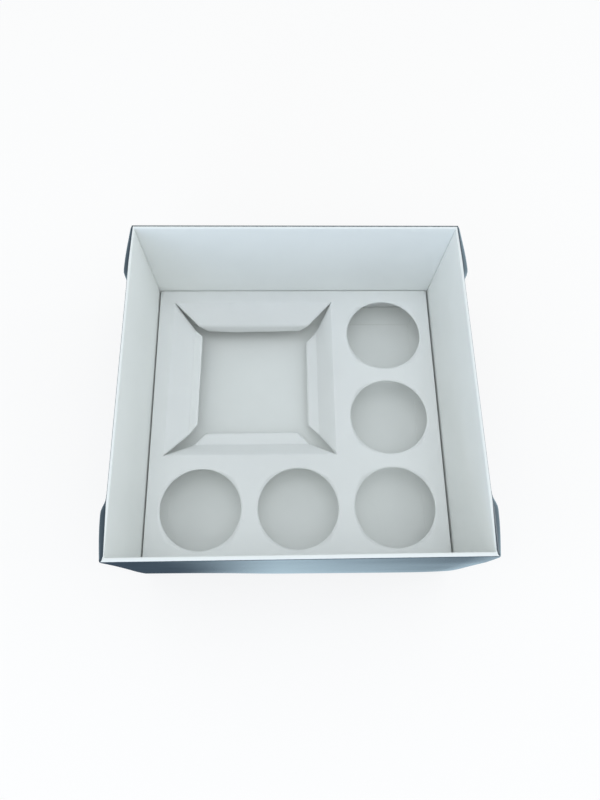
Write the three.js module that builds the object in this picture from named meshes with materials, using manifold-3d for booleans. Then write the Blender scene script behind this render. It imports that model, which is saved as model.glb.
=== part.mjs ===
// Cupcake box: an open square tray with rolled double walls, and the folded insert that
// stands in it. The insert's deck has a square opening for a small cake and five round holes.
// Millimetres, +Z up. The tray's front is at -Y, and its base rests on Z = 0.
import * as THREE from 'three';
import { ParametricGeometry } from 'three/addons/geometries/ParametricGeometry.js';
import { mergeVertices } from 'three/addons/utils/BufferGeometryUtils.js';
import Module from 'manifold-3d';

const wasm = await Module();
wasm.setup();

// Board, and the clearances that the folds leave
const board = 0.5;
const seatGap = 0.3;
const jointGap = 0.35;

// Insert: its round holes, three along the front and three up the right side, and the card
// between them and its edges
const holeRadius = 26.5;
const holeGapX = 10.8;
const holeGapY = 9.35;
const leftMargin = 8.6;
const rightMargin = 6.8;
const frontMargin = 7.5;
const backMargin = 9.8;
const insertHeight = 25;
const legGap = 0.6;
const holeSegments = 36;

// Insert: the square opening's distances from the edges and from the holes
const openingLeftMargin = 10.1;
const openingBackMargin = 9.7;
const openingGapX = 10.4;
const openingGapY = 9;

// Insert: the opening's four flaps, slit apart at the corners and creased twice
const flapPanel = 17;
const flapLip = 7.2;
const slitWidth = 0.5;
const flapBends = [
  { side: 'front', slope: 49, lip: 4 },
  { side: 'right', slope: 52, lip: 14 },
  { side: 'back', slope: 41, lip: 0 },
  { side: 'left', slope: 33, lip: -12 },
];
const sideTurn = { front: 0, right: 90, back: 180, left: 270 };

const holePitchX = 2 * holeRadius + holeGapX;
const holePitchY = 2 * holeRadius + holeGapY;
const insertWidth = leftMargin + 2 * holeRadius + 2 * holePitchX + rightMargin;
const insertDepth = frontMargin + 2 * holeRadius + 2 * holePitchY + backMargin;

// Tray: the play round the insert, which sets the inside size, and the height above its deck
const leftPlay = 1.5;
const rightPlay = 2.5;
const endPlay = 0.5;
const wallAboveDeck = 75.6;
const insideWidth = insertWidth + leftPlay + rightPlay;
const insideDepth = insertDepth + 2 * endPlay;
const insertShiftX = (leftPlay - rightPlay) / 2;

// Tray: the overall thickness of its rolled walls, its bends, and its flanges on the floor
const sideWall = 1.7;
const endWall = 2.4;
const rimRadius = 0.7;
const baseRadius = 1.0;
const underFlangeGap = 0.3;
const sideFlange = 11;
const endFlange = 16;
const floorTop = board + underFlangeGap + board;
const insertFoot = floorTop + seatGap;
const deckTop = insertFoot + insertHeight;
const trayHeight = deckTop + wallAboveDeck;

// Tray: how far its outer panels stand proud of the rim
const cornerSwell = 4.4;
const cornerSwellDepth = 6;
const cornerSwellFade = 60;
const frontEarLength = 31;
const backEarLength = 38;
const earCrest = 0.7;
const panelBow = 4.4;
const cornerBow = 1.4;
const bowDepthShare = 0.45;
const edgeHold = 8;

const outlineSteps = 4;
const rodSegments = 12;

// Solids

function toSolid(geometry) {
  const bare = geometry.index ? geometry.toNonIndexed() : geometry.clone();
  bare.deleteAttribute('normal');
  bare.deleteAttribute('uv');
  const merged = mergeVertices(bare, 1e-4);
  return new wasm.Manifold(new wasm.Mesh({
    numProp: 3,
    vertProperties: new Float32Array(merged.attributes.position.array),
    triVerts: new Uint32Array(merged.index.array),
  }));
}

function toGeometry(solid) {
  const mesh = solid.getMesh();
  const geometry = new THREE.BufferGeometry();
  geometry.setAttribute('position', new THREE.BufferAttribute(mesh.vertProperties, 3));
  geometry.setIndex(new THREE.BufferAttribute(mesh.triVerts, 1));
  geometry.computeVertexNormals();
  return geometry;
}

function joined(solids) {
  return solids.reduce((whole, piece) => whole.add(piece));
}

function block(width, depth, height, x, y, z, turn = 0) {
  const geometry = new THREE.BoxGeometry(width, depth, height);
  geometry.rotateZ(turn);
  geometry.translate(x, y, z);
  return toSolid(geometry);
}

// A flat panel of board whose middle plane is Z = 0.
function panel(shape) {
  const geometry = new THREE.ExtrudeGeometry(shape, {
    depth: board,
    bevelEnabled: false,
    curveSegments: holeSegments,
  });
  geometry.translate(0, 0, -board / 2);
  return geometry;
}

// The rounded back of a fold: a rod of the board's thickness along X, centred on the crease.
function crease(length) {
  const geometry = new THREE.CylinderGeometry(board / 2, board / 2, length, rodSegments);
  geometry.rotateZ(Math.PI / 2);
  return geometry;
}

function outline(points) {
  return new THREE.Shape(points.map(([x, y]) => new THREE.Vector2(x, y)));
}

// Tray

// Quarter arcs of the wall's section, from one angle to another about a centre.
function arc(x, y, radius, from, to) {
  return Array.from({ length: outlineSteps + 1 }, (_, step) => {
    const angle = THREE.MathUtils.degToRad(from + ((to - from) * step) / outlineSteps);
    return [x + radius * Math.cos(angle), y + radius * Math.sin(angle)];
  });
}

// Depths below the rim where the outer panel's section has points, closer together near the rim.
const panelDepths = [
  0.8 * trayHeight,
  0.63 * trayHeight,
  0.47 * trayHeight,
  5.5 * cornerSwellDepth,
  3.7 * cornerSwellDepth,
  2.3 * cornerSwellDepth,
  1.4 * cornerSwellDepth,
  0.8 * cornerSwellDepth,
  0.4 * cornerSwellDepth,
];

// Places of the wall's stations: along a swell as shares of the ear, and along a bowed panel as
// shares of its length.
const earStops = [0, 0.13, 0.32, 0.51, 0.7, 0.8, 0.9, 1, 1.3];
const bowStops = [0, 0.03, 0.08, 0.15, 0.24, 0.35];

// The rolled wall's closed section: the board runs from the base up the outside, over the
// rim, down the inside and onto the floor. Each point has its offset outward from the inside
// face, its height, and whether it belongs to the outer panel, which swells and bows.
function wallSection(wall, flange) {
  const flangeTop = board + underFlangeGap + board;
  const bend = board;
  const outerSkin = [
    [-2 * board, 0],
    ...arc(wall - baseRadius, baseRadius, baseRadius, -90, 0),
    ...panelDepths.map((depth) => [wall, trayHeight - depth]),
    ...arc(wall - rimRadius, trayHeight - rimRadius, rimRadius, 0, 90),
  ];
  const innerSkin = [
    ...arc(board, trayHeight - board, board, 90, 180),
    [0, flangeTop + bend],
    [-bend / 2, flangeTop],
    [-flange, flangeTop],
  ];
  const backOfInner = [
    [-flange, flangeTop - board],
    [0, flangeTop - board],
    [board, flangeTop + bend / 2],
    [board, trayHeight - board],
  ];
  const backOfOuter = [
    [wall - board, trayHeight - board],
    ...[...panelDepths].reverse().map((depth) => [wall - board, trayHeight - depth]),
    [wall - board, baseRadius],
    [wall - baseRadius, board],
    [-2 * board, board],
  ];
  const marked = (points, swells) => points.map(([offset, height]) => ({ offset, height, swells }));
  return [
    ...marked(outerSkin, true),
    ...marked([...innerSkin, ...backOfInner], false),
    ...marked(backOfOuter, true),
  ];
}

function smooth(from, to, value) {
  return THREE.MathUtils.smoothstep(value, from, to);
}

// How far the side's outer panel swells beside a corner, where the folded ear inside pushes it
// out: it climbs to a crest and drops to nothing at the ear's end, and it fades down the wall.
function sideSwell(fromFront, fromBack, depth) {
  const along = (distance, ear) => {
    const crest = ear * earCrest;
    return distance < crest
      ? Math.sin((Math.PI / 2) * (distance / crest))
      : 1 - smooth(crest, ear, distance);
  };
  const strongest = Math.max(along(fromFront, frontEarLength), along(fromBack, backEarLength));
  const rise = Math.sin((Math.PI / 2) * Math.min(depth / cornerSwellDepth, 1));
  const fade = 1 - smooth(cornerSwellDepth, cornerSwellFade, depth);
  return cornerSwell * strongest * rise * fade;
}

// How far the front and back panels bow: flat across the middle, less at the corners.
function endBow(across, depth) {
  const share = depth / trayHeight;
  const rounded = share < bowDepthShare
    ? Math.sin((Math.PI / 2) * (share / bowDepthShare))
    : Math.cos((Math.PI / 2) * ((share - bowDepthShare) / (1 - bowDepthShare)));
  return (cornerBow + (panelBow - cornerBow) * (1 - across ** edgeHold)) * rounded;
}

// One on a wall's own face, fading quickly along its neighbours; signed like its side.
function nearEdge(share) {
  return Math.sign(share) * Math.abs(share) ** edgeHold;
}

// Stations round the wall as points of a unit square, from the front left corner.
function wallStations() {
  const sideLength = insideDepth + 2 * endWall;
  const endLength = insideWidth + 2 * sideWall;
  const sideStops = [
    ...earStops.map((share) => share * frontEarLength),
    sideLength / 2,
    ...earStops.map((share) => sideLength - share * backEarLength).reverse(),
  ].map((distance) => (2 * distance) / sideLength - 1);
  const endStops = [
    ...bowStops.map((share) => share * endLength),
    endLength / 2,
    ...bowStops.map((share) => endLength - share * endLength).reverse(),
  ].map((distance) => (2 * distance) / endLength - 1);
  const open = (stops) => stops.slice(0, -1);
  return [
    ...open(endStops).map((stop) => [stop, -1]),
    ...open(sideStops).map((stop) => [1, stop]),
    ...open(endStops).map((stop) => [-stop, 1]),
    ...open([...sideStops].reverse()).map((stop) => [-1, stop]),
  ];
}

function rolledWalls() {
  const stations = wallStations();
  const sideSection = wallSection(sideWall, sideFlange);
  const endSection = wallSection(endWall, endFlange);
  const outerY = insideDepth / 2 + endWall;
  const place = (u, v, target) => {
    const [across, along] = stations[Math.round(u * stations.length) % stations.length];
    const row = Math.round(v * sideSection.length) % sideSection.length;
    const { offset, height, swells } = sideSection[row];
    const depth = swells ? trayHeight - height : 0;
    const swell = sideSwell(outerY * (1 + along), outerY * (1 - along), depth);
    const bow = endBow(Math.abs(across), depth);
    target.set(
      across * (insideWidth / 2 + offset) + nearEdge(across) * swell,
      along * (insideDepth / 2 + endSection[row].offset) + nearEdge(along) * bow,
      height,
    );
  };
  return toSolid(new ParametricGeometry(place, stations.length, sideSection.length));
}

// The joints between neighbouring panels: one up each inside corner and on across the flanges,
// and one up each side's outer panel, where its cut edge meets the folded corner.
function cornerJoints() {
  const reach = Math.hypot(sideFlange, endFlange);
  const cuts = [];
  for (const right of [-1, 1]) {
    for (const back of [-1, 1]) {
      const turn = Math.atan2(back * endFlange, right * sideFlange);
      const tall = trayHeight - 2 * board - board - underFlangeGap / 2;
      const lift = board + underFlangeGap / 2 + tall / 2;
      const middle = reach / 2 - board;
      cuts.push(block(
        reach + board,
        jointGap,
        tall,
        right * insideWidth / 2 - middle * Math.cos(turn),
        back * insideDepth / 2 - middle * Math.sin(turn),
        lift,
        turn,
      ));
      const outerTall = trayHeight - baseRadius - 2 * rimRadius;
      cuts.push(block(
        2 * board + cornerSwell,
        jointGap,
        outerTall,
        right * (insideWidth / 2 + sideWall + cornerSwell / 2),
        back * (insideDepth / 2 + endWall - board - jointGap / 2),
        baseRadius + outerTall / 2,
      ));
    }
  }
  return joined(cuts);
}

function tray() {
  const base = block(insideWidth - board, insideDepth - board, board, 0, 0, board / 2);
  return rolledWalls().add(base).subtract(cornerJoints());
}

// Insert

const deckMiddle = deckTop - board / 2;

// The insert's edges, and the fold lines of its square opening.
const edges = {
  left: insertShiftX - insertWidth / 2,
  right: insertShiftX + insertWidth / 2,
  front: -insertDepth / 2,
  back: insertDepth / 2,
};
const opening = {
  left: edges.left + openingLeftMargin,
  right: edges.right - rightMargin - 2 * holeRadius - openingGapX,
  front: edges.front + frontMargin + 2 * holeRadius + openingGapY,
  back: edges.back - openingBackMargin,
};

function holeCentres() {
  const centres = [];
  for (const column of [0, 1, 2]) {
    for (const row of [0, 1, 2]) {
      if (column === 2 || row === 0) {
        centres.push([
          edges.left + leftMargin + holeRadius + column * holePitchX,
          edges.front + frontMargin + holeRadius + row * holePitchY,
        ]);
      }
    }
  }
  return centres;
}

function rectangle({ left, right, front, back }) {
  return [[left, front], [right, front], [right, back], [left, back]];
}

function deck() {
  const shape = outline(rectangle({
    left: edges.left + board / 2,
    right: edges.right - board / 2,
    front: edges.front + board / 2,
    back: edges.back - board / 2,
  }));
  for (const [x, y] of holeCentres()) {
    const hole = new THREE.Path();
    hole.absarc(x, y, holeRadius, 0, 2 * Math.PI, true);
    shape.holes.push(hole);
  }
  shape.holes.push(new THREE.Path(outline(rectangle(opening)).getPoints().reverse()));
  return toSolid(panel(shape).translate(0, 0, deckMiddle));
}

// One flap, hinged on an edge of the square opening: a sloping panel and a lip beyond the
// second crease. Both narrow at 45 degrees, as they were slit in the flat sheet.
function flap({ side, slope, lip }) {
  const acrossX = (opening.left + opening.right) / 2;
  const acrossY = (opening.front + opening.back) / 2;
  const facesY = side === 'front' || side === 'back';
  const fold = facesY ? opening.right - opening.left : opening.back - opening.front;
  const reach = (facesY ? opening.back - opening.front : opening.right - opening.left) / 2;
  const half = fold / 2 - slitWidth / 2;
  const slopeAngle = THREE.MathUtils.degToRad(slope);
  const lipAngle = THREE.MathUtils.degToRad(lip);
  const trapezium = (start, length) => outline([
    [-(half - start), 0],
    [half - start, 0],
    [half - start - length, length],
    [-(half - start - length), length],
  ]);
  const lipY = flapPanel * Math.cos(slopeAngle);
  const lipZ = -flapPanel * Math.sin(slopeAngle);
  const pieces = [
    crease(2 * half),
    panel(trapezium(0, flapPanel)).rotateX(-slopeAngle),
    crease(2 * (half - flapPanel)).translate(0, lipY, lipZ),
    panel(trapezium(flapPanel, flapLip)).rotateX(-lipAngle).translate(0, lipY, lipZ),
  ];
  const turn = THREE.MathUtils.degToRad(sideTurn[side]);
  return joined(pieces.map((piece) => toSolid(
    piece.translate(0, -reach, 0).rotateZ(turn).translate(acrossX, acrossY, deckMiddle),
  )));
}

// One leg, folded down from an edge of the deck to the floor.
function leg(length, distance, turn) {
  const height = deckMiddle - insertFoot;
  const half = length / 2;
  const shape = outline([[-half, 0], [half, 0], [half, -height], [-half, -height]]);
  const pieces = [
    crease(length),
    panel(shape).rotateX(Math.PI / 2),
  ];
  return joined(pieces.map((piece) => toSolid(
    piece.translate(0, -distance, 0).rotateZ(turn).translate(insertShiftX, 0, deckMiddle),
  )));
}

function insert() {
  const halfX = insertWidth / 2 - board / 2;
  const halfY = insertDepth / 2 - board / 2;
  const endLeg = insertWidth - board;
  const sideLeg = insertDepth - 2 * (board + legGap);
  return joined([
    deck(),
    leg(endLeg, halfY, 0),
    leg(endLeg, halfY, Math.PI),
    leg(sideLeg, halfX, Math.PI / 2),
    leg(sideLeg, halfX, -Math.PI / 2),
    ...flapBends.map(flap),
  ]);
}

function named(name, solid, colour, roughness) {
  const material = new THREE.MeshStandardMaterial({ color: colour, roughness, metalness: 0 });
  const mesh = new THREE.Mesh(toGeometry(solid), material);
  mesh.name = name;
  return mesh;
}

const box = new THREE.Group();
box.name = 'cupcake_box';
box.add(named('tray', tray(), 0x46586b, 0.35));
box.add(named('insert', insert(), 0xe9edee, 0.6));

export default box;
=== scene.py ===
"""The cupcake box's looks: its rolled tray, its folded insert, their finishes, and the studio.

Lengths are millimetres in the functions that work out shapes, and metres in the meshes.
"""
import math

import bpy
import numpy as np
from mathutils import Matrix, Vector


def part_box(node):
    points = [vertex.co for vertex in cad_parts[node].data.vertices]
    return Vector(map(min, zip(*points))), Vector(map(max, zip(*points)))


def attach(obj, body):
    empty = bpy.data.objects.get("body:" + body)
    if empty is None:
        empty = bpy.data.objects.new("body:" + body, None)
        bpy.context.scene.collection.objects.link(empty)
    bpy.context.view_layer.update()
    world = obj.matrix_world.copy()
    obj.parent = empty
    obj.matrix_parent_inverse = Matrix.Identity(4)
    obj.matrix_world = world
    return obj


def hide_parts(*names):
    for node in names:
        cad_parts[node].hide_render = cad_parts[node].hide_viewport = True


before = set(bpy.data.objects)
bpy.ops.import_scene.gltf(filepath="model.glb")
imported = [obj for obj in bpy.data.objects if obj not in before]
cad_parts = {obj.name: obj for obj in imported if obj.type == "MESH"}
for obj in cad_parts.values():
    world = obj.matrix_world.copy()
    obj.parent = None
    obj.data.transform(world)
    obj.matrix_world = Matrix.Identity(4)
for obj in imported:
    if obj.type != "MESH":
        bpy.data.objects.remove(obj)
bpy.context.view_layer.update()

MM = 0.001
BOARD = 0.5

# Edges that turn by more than this many degrees are shaded sharp
SMOOTH_ANGLE = 40

# The insert's and the tray's places, read from the frame
insert_low, insert_high = (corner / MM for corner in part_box("insert"))
tray_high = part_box("tray")[1] / MM
DECK_TOP = insert_high.z
RIM_TOP = tray_high.z

# Play between the solid insert and the tray's walls
LEFT_PLAY = 1.5
RIGHT_PLAY = 2.5
END_PLAY = 0.5
HALF_WIDTH = (insert_high.x - insert_low.x + LEFT_PLAY + RIGHT_PLAY) / 2
HALF_DEPTH = (insert_high.y - insert_low.y + 2 * END_PLAY) / 2

# The tray's walls: their thickness, bends and flanges, and the joints between the inside panels
SIDE_WALL = 1.7
END_WALL = 2.4
RIM_RADIUS = 0.7
INNER_RIM_RADIUS = 0.5
BASE_RADIUS = 1.0
SIDE_FLANGE = 11
END_FLANGE = 16
FLANGE_TOP = 1.3
FLANGE_BEND = 0.6
FLANGE_DROOP = 0.25
BASE_LAP = 3
CORNER_ROUND = 1.1
JOINT_HALF = 0.16
JOINT_DEPTH = 0.5
JOINT_BELOW_RIM = 0.4

# How the points of the tray's wall are spread, down its section and along each side
PANEL_STEPS = 46
PANEL_CROWDING = 2.2
INNER_STEPS = 16
FLANGE_STEPS = 6
FLANGE_START = 1.5
WALL_STEPS = 97
CORNER_CROWDING = 0.55

# How far short of the rim's outer shoulder the print stops, or past it where that is below nought,
# at places from the front (-1) to the back (1)
PRINT_PLACES = (-1, -0.997, -0.7, 0.75, 1)
PRINT_EDGES = (0.45, -0.7, 0.38, 0.38, -0.16)
SHOULDER_DROP = 0.02

# How far the outer panels stand proud of the rim, and over what lengths along and down the walls
SWELL_LEFT = 3.9
SWELL_RIGHT = 4.37
SWELL_DEPTH = 6
SWELL_FADE = 60
FRONT_EAR = 36
BACK_EAR = 41
EAR_CREST = 0.7
CORNER_SHARE = 0.5
PANEL_BOW = 1.2
BOW_DEPTH_SHARE = 0.8
BOW_START = -0.75
BOW_FULL = -0.1
SKEW = 1.4
SKEW_DEPTH = 30
FLARE = 1.9
FLARE_START = 5
FLARE_FULL = 88
FLARE_END = 97
EDGE_HOLD = 8

# The insert's holes, its square opening, and its folds and legs
HOLE_RADIUS = 26.5
LEFT_MARGIN = 8.6
RIGHT_MARGIN = 6.8
FRONT_MARGIN = 7.5
BACK_MARGIN = 9.8
OPENING_LEFT_MARGIN = 10.1
OPENING_BACK_MARGIN = 9.7
OPENING_GAP_X = 10.4
OPENING_GAP_Y = 9
OPENING_SLANT = 1.5
FLAP_PANEL = 17
SLIT_HALF = 0.2
SLIT_RUN = 2
FOLD_RADIUS = 0.9
LEG_RADIUS = 0.6
LEG_RELIEF = 0.5
LEG_RELIEF_DEPTH = 1.5
LEG_HOLD = 9
FOOT_GAP = 0.05
TILE_STEPS = 24

# How much further out the deck's side folds lie than the solid insert's
SPREAD_LEFT = 0.45
SPREAD_RIGHT = 1.1

# Each flap's slope and its lip's, in degrees below level, the radius of the bend between them, the
# lip's length, and its edge's waviness
FLAPS = {
    "front": (52, 4, 0.9, 9, 0.3),
    "right": (52, 14, 0.9, 8.1, 0.3),
    "back": (24, 79, 2.6, 6.4, 0.6),
    "left": (33, -26, 0.9, 6.9, 0.4),
}
FLAP_TURN = {"front": 0, "right": 1, "back": 2, "left": 3}

# The two waves on a flap's edge: radians from its middle to its end, and the second one's share
LONG_WAVE = 3.1
SHORT_WAVE = 7.3
SHORT_WAVE_SHARE = 0.5
WAVE_PHASE = 0.6
WAVE_PHASE_STEP = 1.7

# The camera: where it stands, where it looks in degrees, and its lens and sensor in millimetres
CAMERA_SPOT = (-8.6, -117.4, RIM_TOP + 299.1)
CAMERA_AZIMUTH = 5.03
CAMERA_ELEVATION = 70.98
CAMERA_ROLL = 4.33
CAMERA_LENS = 25.57
CAMERA_SENSOR = 36


def smoothstep(low, high, value):
    """Three t squared minus two t cubed, with t the value's share of the way from low to high."""
    t = np.clip((value - low) / (high - low), 0, 1)
    return t * t * (3 - 2 * t)


def mesh_object(name, points, faces, materials):
    """A mesh object at the origin from points in millimetres and a list of faces."""
    mesh = bpy.data.meshes.new(name)
    mesh.from_pydata((np.asarray(points) * MM).tolist(), [], faces)
    for material in materials:
        mesh.materials.append(material)
    mesh.shade_smooth()
    mesh.set_sharp_from_angle(angle=math.radians(SMOOTH_ANGLE))
    mesh.update()
    piece = bpy.data.objects.new(name, mesh)
    bpy.context.scene.collection.objects.link(piece)
    return piece


def grid_faces(rows, columns, wrap_rows=False, wrap_columns=False):
    """Quads of a grid whose point (row, column) has the index row times columns plus column."""
    row = np.arange(rows if wrap_rows else rows - 1)[:, None]
    column = np.arange(columns if wrap_columns else columns - 1)[None, :]
    next_row = (row + 1) % rows
    next_column = (column + 1) % columns
    corners = (
        row * columns + column,
        row * columns + next_column,
        next_row * columns + next_column,
        next_row * columns + column,
    )
    return np.stack(np.broadcast_arrays(*corners), axis=-1).reshape(-1, 4)


# The tray


def quarter(x, z, radius, start, end, steps=6):
    """Points of an arc about (x, z), from one angle to another in degrees."""
    angle = np.radians(np.linspace(start, end, steps + 1))
    return np.stack([x + radius * np.cos(angle), z + radius * np.sin(angle)], axis=1)


def wall_midline(wall, flange):
    """The board's middle line in a wall's section, as offset outward from the inside face and height.

    It runs out along the base, up the outside, over the rim, down the inside and in along the floor,
    where the flange droops by the square of its run. Its points crowd towards the rim by a power.
    Returns the points and a mark on each: one where the outer panel swells and bows.
    """
    half = BOARD / 2
    depth_share = np.linspace(1, 0, PANEL_STEPS)[1:-1] ** PANEL_CROWDING
    panel_offset = np.full_like(depth_share, wall - half)
    panel_height = RIM_TOP - RIM_RADIUS - BASE_RADIUS
    inner_ends = (RIM_TOP - INNER_RIM_RADIUS, FLANGE_TOP + FLANGE_BEND)
    inner_heights = np.linspace(*inner_ends, INNER_STEPS)[1:-1]
    flange_run = np.linspace(-FLANGE_START, -flange, FLANGE_STEPS)
    flange_height = FLANGE_TOP - half - FLANGE_DROOP * np.linspace(0, 1, FLANGE_STEPS) ** 2
    pieces = [
        (np.array([[-BASE_LAP, half]]), 1),
        (quarter(wall - BASE_RADIUS, BASE_RADIUS, BASE_RADIUS - half, -90, 0), 1),
        (np.stack([panel_offset, BASE_RADIUS + panel_height * (1 - depth_share)], axis=1), 1),
        (quarter(wall - RIM_RADIUS, RIM_TOP - RIM_RADIUS, RIM_RADIUS - half, 0, 90), 1),
        (quarter(INNER_RIM_RADIUS, RIM_TOP - INNER_RIM_RADIUS, INNER_RIM_RADIUS - half, 90, 180), 0),
        (np.stack([np.full_like(inner_heights, half), inner_heights], axis=1), 0),
        (quarter(half - FLANGE_BEND, FLANGE_TOP - half + FLANGE_BEND, FLANGE_BEND, 0, -90), 0),
        (np.stack([flange_run, flange_height], axis=1), 0),
    ]
    points = np.concatenate([piece for piece, _ in pieces])
    marks = np.concatenate([np.full(len(piece), mark) for piece, mark in pieces])
    return points, marks


def wall_loop(wall, flange):
    """The wall's closed section: the middle line moved half the board's thickness to each side."""
    line, marks = wall_midline(wall, flange)
    along = np.gradient(line, axis=0)
    along /= np.linalg.norm(along, axis=1, keepdims=True)
    outward = np.stack([along[:, 1], -along[:, 0]], axis=1) * BOARD / 2
    loop = np.concatenate([line + outward, (line - outward)[::-1]])
    return loop, np.concatenate([marks, marks[::-1]])


def side_swell(across, from_front, from_back, depth):
    """How far a side's outer panel swells over the ear folded inside it.

    Along the wall it climbs as a sine, from a share of it at the corner to a crest, and drops as a
    smoothstep at the ear's end. Down the wall it climbs as a sine and fades as a smoothstep.
    """

    def along(distance, ear):
        crest = ear * EAR_CREST
        climb = CORNER_SHARE + (1 - CORNER_SHARE) * np.sin(np.pi / 2 * np.clip(distance / crest, 0, 1))
        return np.where(distance < crest, climb, 1 - smoothstep(crest, ear, distance))

    strongest = np.maximum(along(from_front, FRONT_EAR), along(from_back, BACK_EAR))
    rise = np.sin(np.pi / 2 * np.clip(depth / SWELL_DEPTH, 0, 1))
    fullest = np.where(across < 0, SWELL_LEFT, SWELL_RIGHT)
    return fullest * strongest * rise * (1 - smoothstep(SWELL_DEPTH, SWELL_FADE, depth))


def end_bow(across, depth):
    """How far the front and back panels stand out, as the sum of three shapes.

    They flare towards the base as a smoothstep. Their right ends stand out more, in a straight line
    from the left and as a quarter sine down the panel. They bow between their corners, less on the
    left, as a quarter sine down to the fullest depth and a quarter cosine below it. The first two turn
    back in at the base's fold.
    """
    share = np.clip(depth / RIM_TOP, 0, 1)
    above = np.sin(np.pi / 2 * np.clip(share / BOW_DEPTH_SHARE, 0, 1))
    below = np.cos(np.pi / 2 * np.clip((share - BOW_DEPTH_SHARE) / (1 - BOW_DEPTH_SHARE), 0, 1))
    rounded = np.where(share < BOW_DEPTH_SHARE, above, below)
    between = (1 - np.abs(across) ** EDGE_HOLD) * smoothstep(BOW_START, BOW_FULL, across)
    skew = SKEW * (1 + across) / 2 * np.sin(np.pi / 2 * np.clip(depth / SKEW_DEPTH, 0, 1))
    flare = FLARE * smoothstep(FLARE_START, FLARE_FULL, depth) + skew
    return flare * (1 - smoothstep(FLARE_END, RIM_TOP, depth)) + PANEL_BOW * between * rounded


def wall_stations():
    """Places round the wall on a unit square, closer together near the corners: a share of even steps
    and a share of a sine.

    Each corner has three: one either side of the joint between the inside panels, and the joint's
    own. Returns the places and a mark on each: one at a joint.
    """
    even = 2 * np.linspace(0, 1, WALL_STEPS) - 1
    stops = CORNER_CROWDING * np.sin(np.pi / 2 * even) + (1 - CORNER_CROWDING) * even
    inset = JOINT_HALF / HALF_WIDTH
    run = np.concatenate([[-1], (1 - inset) * stops])
    joint = np.zeros(len(run))
    joint[0] = 1
    places = []
    for turn in range(4):
        cosine, sine = ((1, 0), (0, 1), (-1, 0), (0, -1))[turn]
        places.append(np.stack([run * cosine + sine, run * sine - cosine], axis=1))
    return np.concatenate(places), np.tile(joint, 4)


def rounded_corner(x, y, limit_x, limit_y, radius):
    """Moves points near the square corner inward onto a quarter circle of that radius."""
    over_x = np.abs(x) - (limit_x - radius)
    over_y = np.abs(y) - (limit_y - radius)
    near = (over_x > 0) & (over_y > 0)
    longest = np.maximum(over_x, over_y)
    length = np.hypot(over_x, over_y)
    scale = np.where(near, longest / np.where(length > 0, length, 1), 1)
    new_x = np.sign(x) * (limit_x - radius + over_x * scale)
    new_y = np.sign(y) * (limit_y - radius + over_y * scale)
    return np.where(near, new_x, x), np.where(near, new_y, y)


def tray_piece(material):
    """The tray: the closed wall section carried round a square, and the plate of its base.

    An outer panel moves out by its swell or bow, times a power of its place that way, which is one on
    its own face and fades quickly along its neighbours. A groove runs up each corner between the
    inside panels, and on between the flanges. The attribute print_run is how many millimetres of print
    are left beyond a point on the section: below nought, the board there is bare.
    """
    side, marks = wall_loop(SIDE_WALL, SIDE_FLANGE)
    end, _ = wall_loop(END_WALL, END_FLANGE)
    half_loop = len(side) // 2
    places, joint = wall_stations()
    across, along = places[:, 0, None], places[:, 1, None]
    offset_x, offset_y, height = side[None, :, 0], end[None, :, 0], side[None, :, 1]
    outer = marks[None, :] == 1
    depth = np.where(outer, np.clip(RIM_TOP - height, 0, None), 0)
    reach_y = HALF_DEPTH + END_WALL
    swell = side_swell(across, reach_y * (1 + along), reach_y * (1 - along), depth)
    bow = end_bow(across, depth)
    x = across * (HALF_WIDTH + offset_x)
    y = along * (HALF_DEPTH + offset_y)
    outside = outer & (height < RIM_TOP - RIM_RADIUS / 2)
    rounded = rounded_corner(x, y, HALF_WIDTH + offset_x, HALF_DEPTH + offset_y, CORNER_ROUND)
    x, y = (np.where(outside, new, old) for new, old in zip(rounded, (x, y)))
    x = x + np.sign(across) * np.abs(across) ** EDGE_HOLD * swell
    y = y + np.sign(along) * np.abs(along) ** EDGE_HOLD * bow
    z = np.broadcast_to(height, x.shape).copy()

    index = np.arange(len(side))[None, :]
    showing = (index < half_loop) & ~outer
    flange = showing & (height < FLANGE_TOP + FLANGE_BEND)
    groove = (joint[:, None] == 1) & showing & (height < RIM_TOP - INNER_RIM_RADIUS - JOINT_BELOW_RIM)
    x = np.where(groove & ~flange, x + np.sign(across) * JOINT_DEPTH, x)
    y = np.where(groove & ~flange, y + np.sign(along) * JOINT_DEPTH, y)
    z = np.where(groove & flange, z - BOARD, z)
    points = np.stack([x, y, z], axis=-1)

    run = np.cumsum(np.linalg.norm(np.diff(side, axis=0, prepend=side[:1]), axis=1))
    shoulder = np.argmax(side[:half_loop, 1] > RIM_TOP - SHOULDER_DROP)
    print_edge = np.interp(places[:, 1], PRINT_PLACES, PRINT_EDGES)[:, None]
    printed = np.where(index < half_loop, run[shoulder] - print_edge - run[None, :], -BOARD)

    rows, columns = z.shape
    walls = grid_faces(rows, columns, wrap_rows=True, wrap_columns=True)
    plate_points, plate_faces, plate_print = base_plate()
    faces = np.concatenate([walls, plate_faces + rows * columns])
    piece = mesh_object(
        "tray_sheet",
        np.concatenate([points.reshape(-1, 3), plate_points]),
        faces.tolist(),
        [material],
    )
    layer = piece.data.attributes.new("print_run", "FLOAT", "POINT")
    values = np.concatenate([printed.reshape(-1), plate_print])
    layer.data.foreach_set("value", values.astype(np.float32))
    return piece


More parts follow.
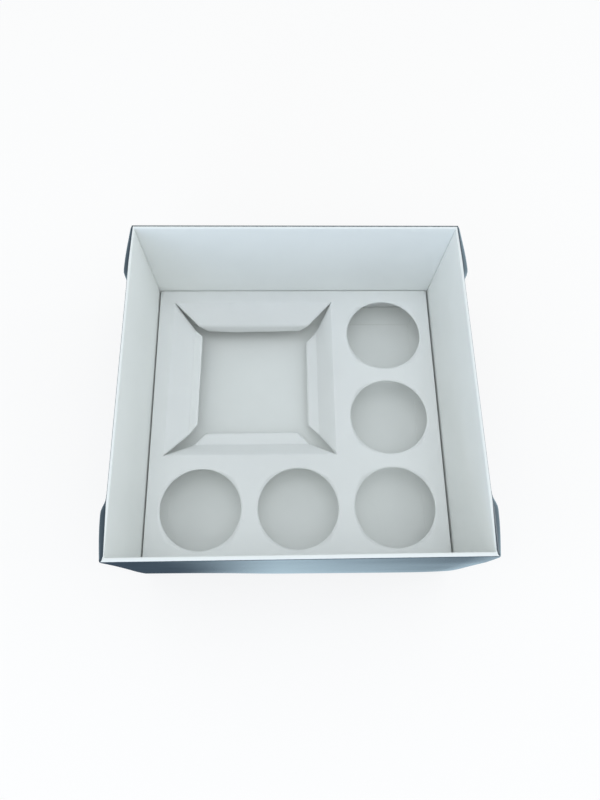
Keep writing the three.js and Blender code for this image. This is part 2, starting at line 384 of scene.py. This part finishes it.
def base_plate(steps=24):
    """The base inside the walls: two flat grids, top and bottom, closed round their edge."""
    share = np.linspace(-1, 1, steps + 1)
    half_x, half_y = HALF_WIDTH - BASE_LAP, HALF_DEPTH - BASE_LAP
    grid_x, grid_y = np.meshgrid(share * half_x, share * half_y, indexing="ij")
    flat = np.stack([grid_x, grid_y, np.zeros_like(grid_x)], axis=-1).reshape(-1, 3)
    top = flat + (0, 0, BOARD)
    count = len(flat)
    up = grid_faces(steps + 1, steps + 1)[:, ::-1]
    down = grid_faces(steps + 1, steps + 1) + count
    line = np.arange(steps + 1)
    ring = np.concatenate([
        line * (steps + 1),
        steps * (steps + 1) + line[1:],
        (steps + 1) * (steps + 1) - 1 - line[1:] * (steps + 1),
        steps - line[1:-1],
    ])
    following = np.roll(ring, -1)
    edge = np.stack([ring, ring + count, following + count, following], axis=1)
    printed = np.concatenate([np.full(count, -BOARD), np.full(count, BOARD)])
    return np.concatenate([top, flat]), np.concatenate([up, down, edge]), printed


# The insert

# Where the deck's folds, its holes' middles, its square opening and the cuts between its tiles lie
EDGE = {
    "left": insert_low.x - SPREAD_LEFT + LEG_RADIUS,
    "right": insert_high.x + SPREAD_RIGHT - LEG_RADIUS,
    "front": insert_low.y + LEG_RADIUS,
    "back": insert_high.y - LEG_RADIUS,
}
COLUMN_RIGHT = insert_high.x - RIGHT_MARGIN - HOLE_RADIUS
COLUMN_LEFT = insert_low.x + LEFT_MARGIN + HOLE_RADIUS
COLUMN_MIDDLE = (COLUMN_LEFT + COLUMN_RIGHT) / 2
ROW_FRONT = insert_low.y + FRONT_MARGIN + HOLE_RADIUS
ROW_BACK = insert_high.y - BACK_MARGIN - HOLE_RADIUS
ROW_MIDDLE = (ROW_FRONT + ROW_BACK) / 2
OPENING = {
    "left": insert_low.x + OPENING_LEFT_MARGIN,
    "right": COLUMN_RIGHT - HOLE_RADIUS - OPENING_GAP_X,
    "front": ROW_FRONT + HOLE_RADIUS + OPENING_GAP_Y,
    "back": insert_high.y - OPENING_BACK_MARGIN,
}
CUT_X = (COLUMN_LEFT + COLUMN_MIDDLE) / 2
CUT_Y = (ROW_MIDDLE + ROW_BACK) / 2
SPLIT_X = (OPENING["right"] + COLUMN_RIGHT - HOLE_RADIUS) / 2
SPLIT_Y = (OPENING["front"] + ROW_FRONT + HOLE_RADIUS) / 2
DECK_MIDDLE = DECK_TOP - BOARD / 2


def spaced(start, end, steps=TILE_STEPS):
    """Evenly spaced points of a straight edge, the last one left to the next edge."""
    share = np.linspace(0, 1, steps + 1)[:-1, None]
    return np.asarray(start) + share * (np.asarray(end) - np.asarray(start))


def hole_tile(left, right, front, back, centre_x, centre_y, rings=5):
    """A rectangle of deck round a hole: each of its edge points is joined to the circle by a straight
    line towards the centre, cut into steps."""
    edge = np.concatenate([
        spaced((left, front), (right, front)),
        spaced((right, front), (right, back)),
        spaced((right, back), (left, back)),
        spaced((left, back), (left, front)),
    ])
    centre = np.array([centre_x, centre_y])
    away = edge - centre
    circle = centre + HOLE_RADIUS * away / np.linalg.norm(away, axis=1, keepdims=True)
    share = np.linspace(0, 1, rings + 1)[:, None, None]
    flat = edge[None] + share * (circle - edge)[None]
    points = np.concatenate([flat, np.full((*flat.shape[:2], 1), DECK_MIDDLE)], axis=-1)
    return points.reshape(-1, 3), grid_faces(rings + 1, len(edge), wrap_columns=True)


def border_tile(outer, inner, steps=5):
    """A trapezium of deck between an edge of the tiles and a fold of the square opening."""
    share = np.linspace(0, 1, steps + 1)[:, None, None]
    flat = outer[None] + share * (inner - outer)[None]
    points = np.concatenate([flat, np.full((*flat.shape[:2], 1), DECK_MIDDLE)], axis=-1)
    return points.reshape(-1, 3), grid_faces(steps + 1, len(outer))


def opening_border():
    """The four trapeziums round the square opening, from the neighbouring tiles to its folds."""
    left, right = EDGE["left"], SPLIT_X
    front, back = SPLIT_Y, EDGE["back"]
    rings = []
    outer_corners = [(left, front), (right, front), (right, back), (left, back)]
    breaks = [(CUT_X, front), (right, CUT_Y), (CUT_X, back), (left, CUT_Y)]
    folds = fold_corners()
    for turn in range(4):
        start, end = outer_corners[turn], outer_corners[(turn + 1) % 4]
        outer = np.concatenate([spaced(start, breaks[turn]), spaced(breaks[turn], end), [end]])
        rings.append(border_tile(outer, fold_line(folds[turn], folds[(turn + 1) % 4])))
    return rings


def fold_corners():
    """The corners of the square opening, where the slits end. Its left fold leans out at the front."""
    return [
        (OPENING["left"] - OPENING_SLANT, OPENING["front"]),
        (OPENING["right"], OPENING["front"]),
        (OPENING["right"], OPENING["back"]),
        (OPENING["left"], OPENING["back"]),
    ]


def fold_line(start, end):
    """The points of one fold, as many as two tiles have."""
    share = np.linspace(0, 1, 2 * TILE_STEPS + 1)[:, None]
    return np.asarray(start) + share * (np.asarray(end) - np.asarray(start))


def folded_path(slope, lip, lip_radius, lip_length):
    """A flap's section: how far in, how far up and how much board has been used at each step.

    It bends down along an arc, runs straight, bends back along an arc and runs straight to its edge.
    Each step turns the heading by its share of the bend and moves along it.
    """
    first, second = math.radians(slope), math.radians(lip)
    bend_steps, panel_steps, lip_steps = 5, 8, 5
    bend_one = FOLD_RADIUS * first
    bend_two = lip_radius * abs(first - second)
    headings = np.concatenate([
        first * (np.arange(bend_steps) + 0.5) / bend_steps,
        np.full(panel_steps, first),
        first + (second - first) * (np.arange(bend_steps) + 0.5) / bend_steps,
        np.full(lip_steps, second),
    ])
    lengths = np.concatenate([
        np.full(bend_steps, bend_one / bend_steps),
        np.full(panel_steps, (FLAP_PANEL - bend_one / 2 - bend_two / 2) / panel_steps),
        np.full(bend_steps, bend_two / bend_steps),
        np.full(lip_steps, (lip_length - bend_two / 2) / lip_steps),
    ])
    inward = np.concatenate([[0], np.cumsum(lengths * np.cos(headings))])
    upward = np.concatenate([[0], -np.cumsum(lengths * np.sin(headings))])
    return inward, upward, np.concatenate([[0], np.cumsum(lengths)])


def flap_sheet(side):
    """One flap of the square opening: the folded path carried along its fold, its ends slit at 45
    degrees in the flat. Two waves lift it, by the square of the way out to its free edge."""
    slope, lip, lip_radius, lip_length, wave = FLAPS[side]
    turn = FLAP_TURN[side]
    corners = fold_corners()
    start, end = (np.array(corners[(turn + step) % 4]) for step in (0, 1))
    along = (end - start) / np.linalg.norm(end - start)
    inward_way = np.array([-along[1], along[0]])
    half = np.linalg.norm(end - start) / 2
    inward, upward, used = folded_path(slope, lip, lip_radius, lip_length)
    share = np.linspace(-1, 1, 2 * TILE_STEPS + 1)[None, :]
    slit = SLIT_HALF * smoothstep(0, SLIT_RUN, used)[:, None]
    across = share * (half - used[:, None] - slit)
    loose = (used / used[-1])[:, None] ** 2
    phase = WAVE_PHASE_STEP * turn + WAVE_PHASE
    waves = np.sin(LONG_WAVE * share + phase) + SHORT_WAVE_SHARE * np.sin(SHORT_WAVE * share + 2 * phase)
    lift = wave * loose * waves
    middle = (start + end) / 2
    flat = middle + across[..., None] * along + inward[:, None, None] * inward_way
    height = DECK_MIDDLE + upward[:, None] + lift
    points = np.concatenate([flat, height[..., None]], axis=-1)
    return points.reshape(-1, 3), grid_faces(len(used), share.shape[1])


def leg_sheet(line, outward, steps=10):
    """One leg: the deck's edge line carried outward and down along an arc, then straight to its foot.
    Its ends draw in below the fold, by a power of the place along it."""
    angle = np.radians(np.linspace(0, 90, 6))
    radius = LEG_RADIUS - BOARD / 2
    foot = FLANGE_TOP + FOOT_GAP
    heights = np.linspace(DECK_MIDDLE - radius, foot, steps + 1)[1:]
    out = np.concatenate([radius * np.sin(angle), np.full(steps, radius)])
    height = np.concatenate([DECK_MIDDLE - radius * (1 - np.cos(angle)), heights])
    span = (line - line[0]) @ (line[-1] - line[0]) / np.sum((line[-1] - line[0]) ** 2)
    draw = (2 * span - 1) ** LEG_HOLD * LEG_RELIEF
    along = (line[-1] - line[0]) / np.linalg.norm(line[-1] - line[0])
    drop = smoothstep(0, LEG_RELIEF_DEPTH, DECK_MIDDLE - height)
    flat = (
        line[None]
        - (drop[:, None] * draw[None, :])[..., None] * along
        + out[:, None, None] * np.asarray(outward)
    )
    tall = np.broadcast_to(height[:, None, None], (*flat.shape[:2], 1))
    points = np.concatenate([flat, tall], axis=-1)
    return points.reshape(-1, 3), grid_faces(len(height), len(line))[:, ::-1]


def leg_sheets():
    """The insert's four legs, on the edge points that the deck's tiles have."""
    left, right, front, back = (EDGE[side] for side in ("left", "right", "front", "back"))
    stops_x = (left, CUT_X, SPLIT_X, right)
    stops_y = (front, SPLIT_Y, CUT_Y, back)
    front_line = np.concatenate([
        *(spaced((a, front), (b, front)) for a, b in zip(stops_x, stops_x[1:])), [(right, front)]])
    back_line = np.concatenate([
        *(spaced((a, back), (b, back)) for a, b in zip(stops_x, stops_x[1:])), [(right, back)]])
    left_line = np.concatenate([
        *(spaced((left, a), (left, b)) for a, b in zip(stops_y, stops_y[1:])), [(left, back)]])
    right_line = np.concatenate([
        *(spaced((right, a), (right, b)) for a, b in zip(stops_y, stops_y[1:])), [(right, back)]])
    return [
        leg_sheet(front_line, (0, -1)),
        leg_sheet(right_line, (1, 0)),
        leg_sheet(back_line[::-1], (0, 1)),
        leg_sheet(left_line[::-1], (-1, 0)),
    ]


def welded(parts):
    """Joins grids into one sheet, and merges points that are the same to a thousandth of a millimetre."""
    offsets = np.cumsum([0] + [len(points) for points, _ in parts])
    points = np.concatenate([points for points, _ in parts])
    faces = np.concatenate([faces + offset for (_, faces), offset in zip(parts, offsets)])
    _, first, inverse = np.unique(np.round(points, 3), axis=0, return_index=True, return_inverse=True)
    return points[first], inverse.reshape(-1)[faces]


def insert_piece(face, cut_edge):
    """The insert: one sheet of deck, legs and flaps, given the board's thickness."""
    tiles = [
        hole_tile(EDGE["left"], CUT_X, EDGE["front"], SPLIT_Y, COLUMN_LEFT, ROW_FRONT),
        hole_tile(CUT_X, SPLIT_X, EDGE["front"], SPLIT_Y, COLUMN_MIDDLE, ROW_FRONT),
        hole_tile(SPLIT_X, EDGE["right"], EDGE["front"], SPLIT_Y, COLUMN_RIGHT, ROW_FRONT),
        hole_tile(SPLIT_X, EDGE["right"], SPLIT_Y, CUT_Y, COLUMN_RIGHT, ROW_MIDDLE),
        hole_tile(SPLIT_X, EDGE["right"], CUT_Y, EDGE["back"], COLUMN_RIGHT, ROW_BACK),
    ]
    points, faces = welded([
        *tiles,
        *opening_border(),
        *(flap_sheet(side) for side in FLAPS),
        *leg_sheets(),
    ])
    piece = mesh_object("insert_sheet", points, faces.tolist(), [face, cut_edge])
    thickness = piece.modifiers.new("board", "SOLIDIFY")
    thickness.thickness = BOARD * MM
    thickness.offset = 0
    thickness.use_even_offset = True
    thickness.use_quality_normals = True
    thickness.material_offset_rim = 1
    return piece


# Finishes


class Finish:
    """A node material with one Principled shader, and short calls to add and join nodes."""

    def __init__(self, name):
        self.material = bpy.data.materials.new(name)
        self.material.use_nodes = True
        self.nodes = self.material.node_tree.nodes
        self.links = self.material.node_tree.links
        self.shader = self.nodes["Principled BSDF"]
        self.place = self.nodes.new("ShaderNodeTexCoord").outputs["Object"]

    def set(self, **values):
        """Sets plain numbers or colours on the shader."""
        for name, value in values.items():
            self.shader.inputs[name.replace("_", " ")].default_value = value

    def join(self, source, node, name):
        """Leads an output to a node's named input."""
        self.links.new(source, node.inputs[name])

    def noise(self, size, detail, roughness=0.5):
        """Noise whose largest blots are about that many millimetres across."""
        node = self.nodes.new("ShaderNodeTexNoise")
        node.inputs["Scale"].default_value = 1 / (size * MM)
        node.inputs["Detail"].default_value = detail
        node.inputs["Roughness"].default_value = roughness
        self.join(self.place, node, "Vector")
        return node.outputs["Fac"]

    def spread(self, value, low, high, to_low, to_high):
        """A value's share of the way from low to high, laid out from one number to another."""
        node = self.nodes.new("ShaderNodeMapRange")
        node.clamp = True
        ends = {"From Min": low, "From Max": high, "To Min": to_low, "To Max": to_high}
        for name, number in ends.items():
            node.inputs[name].default_value = number
        self.join(value, node, "Value")
        return node.outputs["Result"]

    def mix(self, factor, first, second):
        """A colour between two others, each a plain colour or a node's output."""
        node = self.nodes.new("ShaderNodeMix")
        node.data_type = "RGBA"
        self.links.new(factor, node.inputs["Factor"])
        for socket, colour in ((node.inputs[6], first), (node.inputs[7], second)):
            if isinstance(colour, tuple):
                socket.default_value = (*colour, 1)
            else:
                self.links.new(colour, socket)
        return node.outputs[2]

    def add(self, first, second):
        """The sum of two outputs."""
        node = self.nodes.new("ShaderNodeMath")
        node.operation = "ADD"
        self.links.new(first, node.inputs[0])
        self.links.new(second, node.inputs[1])
        return node.outputs["Value"]

    def number(self, factor, first, second):
        """A number between two others, each a plain number or a node's output."""
        node = self.nodes.new("ShaderNodeMix")
        self.links.new(factor, node.inputs[0])
        for socket, value in ((node.inputs[2], first), (node.inputs[3], second)):
            if isinstance(value, (int, float)):
                socket.default_value = value
            else:
                self.links.new(value, socket)
        return node.outputs[0]

    def bump(self, height, distance, under=None):
        """Relief that many millimetres high, on top of another relief if there is one."""
        node = self.nodes.new("ShaderNodeBump")
        node.inputs["Distance"].default_value = distance * MM
        node.inputs["Strength"].default_value = 1
        self.join(height, node, "Height")
        if under is not None:
            self.join(under, node, "Normal")
        return node.outputs["Normal"]


# Colours, and how far light travels in the insert's board, in millimetres
INSERT_WHITE = (0.9, 0.91, 0.892)
INSERT_SHADE = (0.885, 0.896, 0.878)
CUT_EDGE = (0.74, 0.75, 0.73)
TRAY_WHITE = (0.88, 0.89, 0.868)
TRAY_SHADE = (0.865, 0.876, 0.854)
PRINT = (0.054, 0.071, 0.086)
PRINT_LIGHT = (0.061, 0.080, 0.096)
GLOW = 1.1

# The board's surface: blot sizes and relief heights in millimetres, and the noise's useful spans
CLOUD_SIZE = 28
CLOUD_SPAN = (0.35, 0.65)
PATCH_SIZE = 6
PATCH_SPAN = (0.3, 0.7)
BARE_ROUGHNESS = (0.42, 0.52)
TOOTH_SIZE = 0.35
BARE_TOOTH = 0.01
PRINT_TOOTH = 0.006
WAVE_SIZE = 35
WAVE_HEIGHT = 0.25

# The print's ragged edge: blot size, and reach and blur in millimetres
RAG_SIZE = 1.5
RAG_SPAN = (0.3, 0.7)
RAG_REACH = 0.03
PRINT_BLUR = 0.05

# The painted reflection's powers along the box's width in metres, which set how strongly the print
# mirrors its surroundings at each place: on the front a sum of ramps, then elsewhere.
# The front's share comes in over its last millimetre.
PAINTED_REFLECTION_FRONT = (
    (-0.097, -0.010, -2.1, 0),
    (-0.010, 0.021, 0, -0.33),
    (0.021, 0.080, 0, -0.38),
    (0.088, 0.103, 0, 0.44),
)
PAINTED_REFLECTION_ELSEWHERE = (-0.1, 0.1, -0.55, -0.05)
FRONT_SHARE = (-0.0985, -0.0995, 0, 1)
PAINTED_REFLECTION_BASE = 50
PAINTED_REFLECTION_INDEX = 1.8
VARNISH_ROUGHNESS = 0.14
BARE_INDEX = 1.5


def clouds(finish):
    """Faint clouds, from nought to one."""
    return finish.spread(finish.noise(CLOUD_SIZE, detail=2), *CLOUD_SPAN, 0, 1)


def bare_roughness(finish):
    """The white card's roughness, a little uneven."""
    return finish.spread(finish.noise(PATCH_SIZE, detail=2), *PATCH_SPAN, *BARE_ROUGHNESS)


def board_relief(finish, tooth_height):
    """Leads the board's relief to the shader: a fine tooth with a slow waviness on it."""
    tooth = finish.bump(finish.noise(TOOTH_SIZE, detail=4, roughness=0.6), tooth_height)
    wavy = finish.bump(finish.noise(WAVE_SIZE, detail=1), WAVE_HEIGHT, under=tooth)
    finish.join(wavy, finish.shader, "Normal")


def white_board(name, light, shade):
    """Matt white card that lets a little light through, in clouds of two tones."""
    finish = Finish(name)
    finish.join(finish.mix(clouds(finish), light, shade), finish.shader, "Base Color")
    finish.join(bare_roughness(finish), finish.shader, "Roughness")
    board_relief(finish, BARE_TOOTH)
    finish.set(Specular_IOR_Level=0.4)
    finish.set(Subsurface_Weight=1.0, Subsurface_Radius=(1, 1, 1), Subsurface_Scale=GLOW * MM)
    return finish.material


def painted_reflection_index(finish, printed):
    """The board's index of refraction: a plain gloss where it's bare, and where it's printed a painted
    reflection: an index that changes with the place, so that the print mirrors its surroundings more
    or less strongly.

    On the front the painted reflection is strongest a little left of the middle and weakest at the
    left corner. On the other panels it strengthens evenly from left to right. The index less one is
    0.8 at the strongest and falls by powers of fifty.
    """
    along = finish.nodes.new("ShaderNodeSeparateXYZ")
    finish.links.new(finish.place, along.inputs[0])
    front = finish.spread(along.outputs["X"], *PAINTED_REFLECTION_FRONT[0])
    for ramp in PAINTED_REFLECTION_FRONT[1:]:
        front = finish.add(front, finish.spread(along.outputs["X"], *ramp))
    elsewhere = finish.spread(along.outputs["X"], *PAINTED_REFLECTION_ELSEWHERE)
    in_front = finish.spread(along.outputs["Y"], *FRONT_SHARE)
    power = finish.nodes.new("ShaderNodeMath")
    power.operation = "POWER"
    power.inputs[0].default_value = PAINTED_REFLECTION_BASE
    finish.links.new(finish.number(in_front, elsewhere, front), power.inputs[1])
    index = finish.spread(power.outputs["Value"], 0, 1, 1, PAINTED_REFLECTION_INDEX)
    return finish.number(printed, BARE_INDEX, index)


def printed_board():
    """The tray's card: white where it is bare and glossy dark slate blue where it is printed, with
    the print ending in a slightly ragged line on the rim's outer shoulder."""
    finish = Finish("printed_board")
    run = finish.nodes.new("ShaderNodeAttribute")
    run.attribute_name = "print_run"
    ragged = finish.spread(finish.noise(RAG_SIZE, detail=3), *RAG_SPAN, -RAG_REACH, RAG_REACH)
    printed = finish.spread(finish.add(run.outputs["Fac"], ragged), -PRINT_BLUR, PRINT_BLUR, 0, 1)
    cloud = clouds(finish)
    bare = finish.mix(cloud, TRAY_WHITE, TRAY_SHADE)
    ink = finish.mix(cloud, PRINT, PRINT_LIGHT)
    finish.join(finish.mix(printed, bare, ink), finish.shader, "Base Color")
    rough = finish.number(printed, bare_roughness(finish), VARNISH_ROUGHNESS)
    finish.join(rough, finish.shader, "Roughness")
    # Painted reflection: how strongly the print mirrors is set by its place along the box
    finish.join(painted_reflection_index(finish, printed), finish.shader, "IOR")
    board_relief(finish, PRINT_TOOTH)
    return finish.material


# The studio

# The floor: its width in metres, its own colour and roughness, the colour that the box's gloss
# mirrors, and how much of what the camera sees of it is plain white
FLOOR_SIZE = 40
FLOOR_COLOUR = (1.0, 0.96, 0.93, 1)
FLOOR_ROUGHNESS = 0.9
FLOOR_REFLECTED = (0.63, 0.83, 0.95, 1)
FLOOR_WHITENESS = 0.79

# The world's light: its strength and its tint
SKY_LEVEL = 0.66
SKY_TINT = (0.93, 1.0, 1.045)

# Each lamp's name, spot and aim in metres, width, watts and tint
LAMP_TINT = (0.94, 1.0, 1.04)
LAMPS = (
    ("high_lamp", (0.03, -0.07, 1.25), (0, 0, 0.05), 0.9, 2.8, LAMP_TINT),
    ("front_lamp", (-0.3, -1.2, 0.36), (0, 0, 0.08), 0.6, 3.0, (0.68, 0.96, 1.42)),
    ("right_lamp", (1.2, 0.0, 0.5), (0, 0, 0.08), 0.7, 3.3, LAMP_TINT),
    ("left_lamp", (-1.2, -0.3, 0.55), (0, 0, 0.08), 0.7, 2.6, LAMP_TINT),
)


def floor():
    """A wide white floor that looks white to the camera, keeps a share of the soft shadow, and is
    pale blue where the box's gloss mirrors it."""
    bpy.ops.mesh.primitive_plane_add(size=FLOOR_SIZE)
    plane = bpy.context.object
    plane.name = "floor"
    material = bpy.data.materials.new("floor")
    material.use_nodes = True
    nodes, links = material.node_tree.nodes, material.node_tree.links
    shader = nodes["Principled BSDF"]
    shader.inputs["Base Color"].default_value = FLOOR_COLOUR
    shader.inputs["Roughness"].default_value = FLOOR_ROUGHNESS
    white = nodes.new("ShaderNodeEmission")
    white.inputs["Strength"].default_value = 1
    path = nodes.new("ShaderNodeLightPath")
    cast = nodes.new("ShaderNodeMix")
    cast.data_type = "RGBA"
    cast.inputs[6].default_value = (1, 1, 1, 1)
    cast.inputs[7].default_value = FLOOR_REFLECTED
    links.new(path.outputs["Is Glossy Ray"], cast.inputs["Factor"])
    links.new(cast.outputs[2], white.inputs["Color"])
    share = nodes.new("ShaderNodeMath")
    share.operation = "MULTIPLY_ADD"
    share.inputs[1].default_value = FLOOR_WHITENESS
    mixed = nodes.new("ShaderNodeMixShader")
    links.new(path.outputs["Is Camera Ray"], share.inputs[0])
    links.new(path.outputs["Is Glossy Ray"], share.inputs[2])
    links.new(share.outputs["Value"], mixed.inputs["Fac"])
    links.new(shader.outputs["BSDF"], mixed.inputs[1])
    links.new(white.outputs["Emission"], mixed.inputs[2])
    links.new(mixed.outputs["Shader"], nodes["Material Output"].inputs["Surface"])
    plane.data.materials.append(material)


def sky():
    """An even pale world, plain white where the camera sees it."""
    world = bpy.data.worlds.new("studio")
    world.use_nodes = True
    nodes, links = world.node_tree.nodes, world.node_tree.links
    light = nodes["Background"]
    light.inputs["Color"].default_value = (*SKY_TINT, 1)
    light.inputs["Strength"].default_value = SKY_LEVEL
    seen = nodes.new("ShaderNodeBackground")
    seen.inputs["Color"].default_value = (1, 1, 1, 1)
    path = nodes.new("ShaderNodeLightPath")
    mixed = nodes.new("ShaderNodeMixShader")
    links.new(path.outputs["Is Camera Ray"], mixed.inputs["Fac"])
    links.new(light.outputs["Background"], mixed.inputs[1])
    links.new(seen.outputs["Background"], mixed.inputs[2])
    links.new(mixed.outputs["Shader"], nodes["World Output"].inputs["Surface"])
    bpy.context.scene.world = world


def lamp(name, spot, aim, width, watts, tint):
    """A square soft lamp at its spot, turned towards its aim."""
    light = bpy.data.lights.new(name, "AREA")
    light.shape = "SQUARE"
    light.size = width
    light.energy = watts
    light.color = tint
    holder = bpy.data.objects.new(name, light)
    bpy.context.scene.collection.objects.link(holder)
    holder.location = spot
    way = Vector(spot) - Vector(aim)
    holder.rotation_euler = way.to_track_quat("Z", "Y").to_euler()


def camera():
    """The camera at the photograph's angle, from its azimuth, elevation and roll in degrees."""
    azimuth, elevation, roll = (
        math.radians(angle) for angle in (CAMERA_AZIMUTH, CAMERA_ELEVATION, CAMERA_ROLL)
    )
    forward = np.array([
        math.sin(azimuth) * math.cos(elevation),
        math.cos(azimuth) * math.cos(elevation),
        -math.sin(elevation),
    ])
    level = np.array([math.cos(azimuth), -math.sin(azimuth), 0])
    above = np.cross(level, forward)
    right = math.cos(roll) * level + math.sin(roll) * above
    up = math.cos(roll) * above - math.sin(roll) * level
    data = bpy.data.cameras.new("camera")
    data.lens = CAMERA_LENS
    data.sensor_width = CAMERA_SENSOR
    data.clip_start = 0.01
    holder = bpy.data.objects.new("camera", data)
    bpy.context.scene.collection.objects.link(holder)
    turn = Matrix([list(row) for row in np.stack([right, up, -forward], axis=1)])
    holder.matrix_world = Matrix.Translation([length * MM for length in CAMERA_SPOT]) @ turn.to_4x4()
    bpy.context.scene.camera = holder


def place(piece, node):
    """Lets a piece stand for a CAD node on the row's only body."""
    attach(piece, "root")
    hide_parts(node)


place(tray_piece(printed_board()), "tray")
place(
    insert_piece(
        white_board("white_board", INSERT_WHITE, INSERT_SHADE),
        white_board("cut_edge", CUT_EDGE, CUT_EDGE),
    ),
    "insert",
)

floor()
sky()
for settings in LAMPS:
    lamp(*settings)
camera()
bpy.context.scene.view_settings.view_transform = "Standard"
